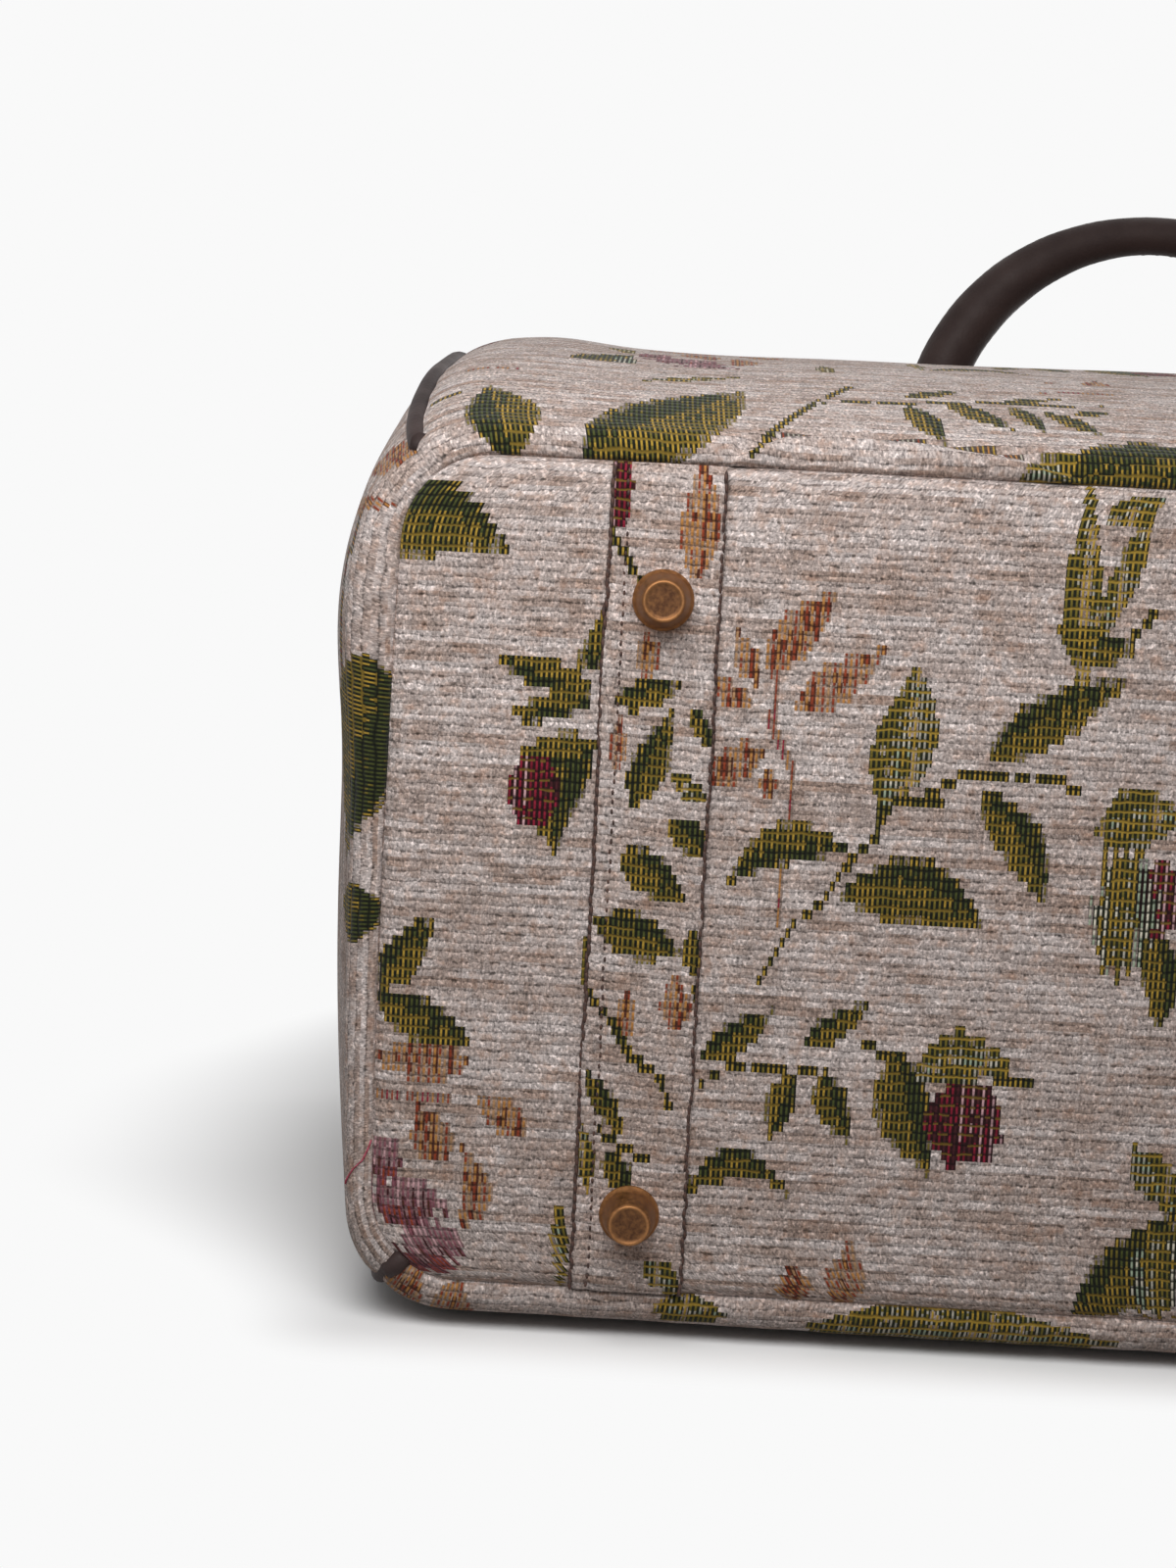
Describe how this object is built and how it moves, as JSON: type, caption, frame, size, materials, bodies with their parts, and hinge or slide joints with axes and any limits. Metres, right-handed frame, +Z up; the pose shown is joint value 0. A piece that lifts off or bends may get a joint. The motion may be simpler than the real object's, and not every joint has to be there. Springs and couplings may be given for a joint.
{
  "type": "tapestry bag",
  "caption": "Soft carpet bag in floral tapestry, lying on its back, with leather-piped seams, a zipped top, swinging rolled leather handles and brass feet on sewn base bands.",
  "frame": {"origin": "on the floor, under the middle of the back panel that the bag lies on", "axes": "+X along the bag's width, +Y from the base with its feet to the zipped top, +Z up out of the front panel"},
  "size_m": [0.428, 0.3309, 0.2769],
  "materials": {
    "tapestry": "chenille weave with leaves and rosebuds",
    "piping_leather": "smooth dark brown",
    "handle_leather": "grained dark brown",
    "foot_brass": "antiqued",
    "ring_brass": "antiqued",
    "zip_metal": "antiqued",
    "zip_tape": "plain woven tape",
    "board": "plain pressed board"
  },
  "bodies": {
    "bag": {"front_panel": "tapestry", "back_panel": "tapestry", "left_gusset": "tapestry", "right_gusset": "tapestry", "base_panel": "tapestry", "top_panel": "tapestry", "left_base_band": "tapestry", "right_base_band": "tapestry", "front_left_piping": "piping_leather", "front_right_piping": "piping_leather", "back_left_piping": "piping_leather", "back_right_piping": "piping_leather", "base_board": "board", "base_feet": "foot_brass", "foot_washers": "foot_brass", "front_zip_tape": "zip_tape", "back_zip_tape": "zip_tape", "front_zip_teeth": "zip_metal", "back_zip_teeth": "zip_metal", "zip_stops": "zip_metal", "front_handle_tabs": "handle_leather", "back_handle_tabs": "handle_leather"},
    "front_handle_swing_body": {"front_handle": "handle_leather", "front_handle_rings": "ring_brass"},
    "back_handle_swing_body": {"back_handle": "handle_leather", "back_handle_rings": "ring_brass"},
    "slider": {"zip_slider": "zip_metal"},
    "pull": {"zip_pull": "zip_metal"}
  },
  "joints": [
    {"name": "front_handle_swing", "type": "hinge", "parent": "bag", "child": "front_handle_swing_body", "pos_m": [0, 0.09744, 0.18144], "axis": [1, 0, 0], "range_deg": [-126, 33]},
    {"name": "back_handle_swing", "type": "hinge", "parent": "bag", "child": "back_handle_swing_body", "pos_m": [0, 0.09615, 0.00892], "axis": [1, 0, 0], "range_deg": [-137, 18]},
    {"name": "zip_slide", "type": "slide", "parent": "bag", "child": "slider", "axis": [1, 0, 0], "range_m": [-0.317, 0]},
    {"name": "zip_pull_swing", "type": "hinge", "parent": "slider", "child": "pull", "pos_m": [0.1588, 0.13115, 0.087], "axis": [0, 0, -1], "range_deg": [0, 175]}
  ]
}
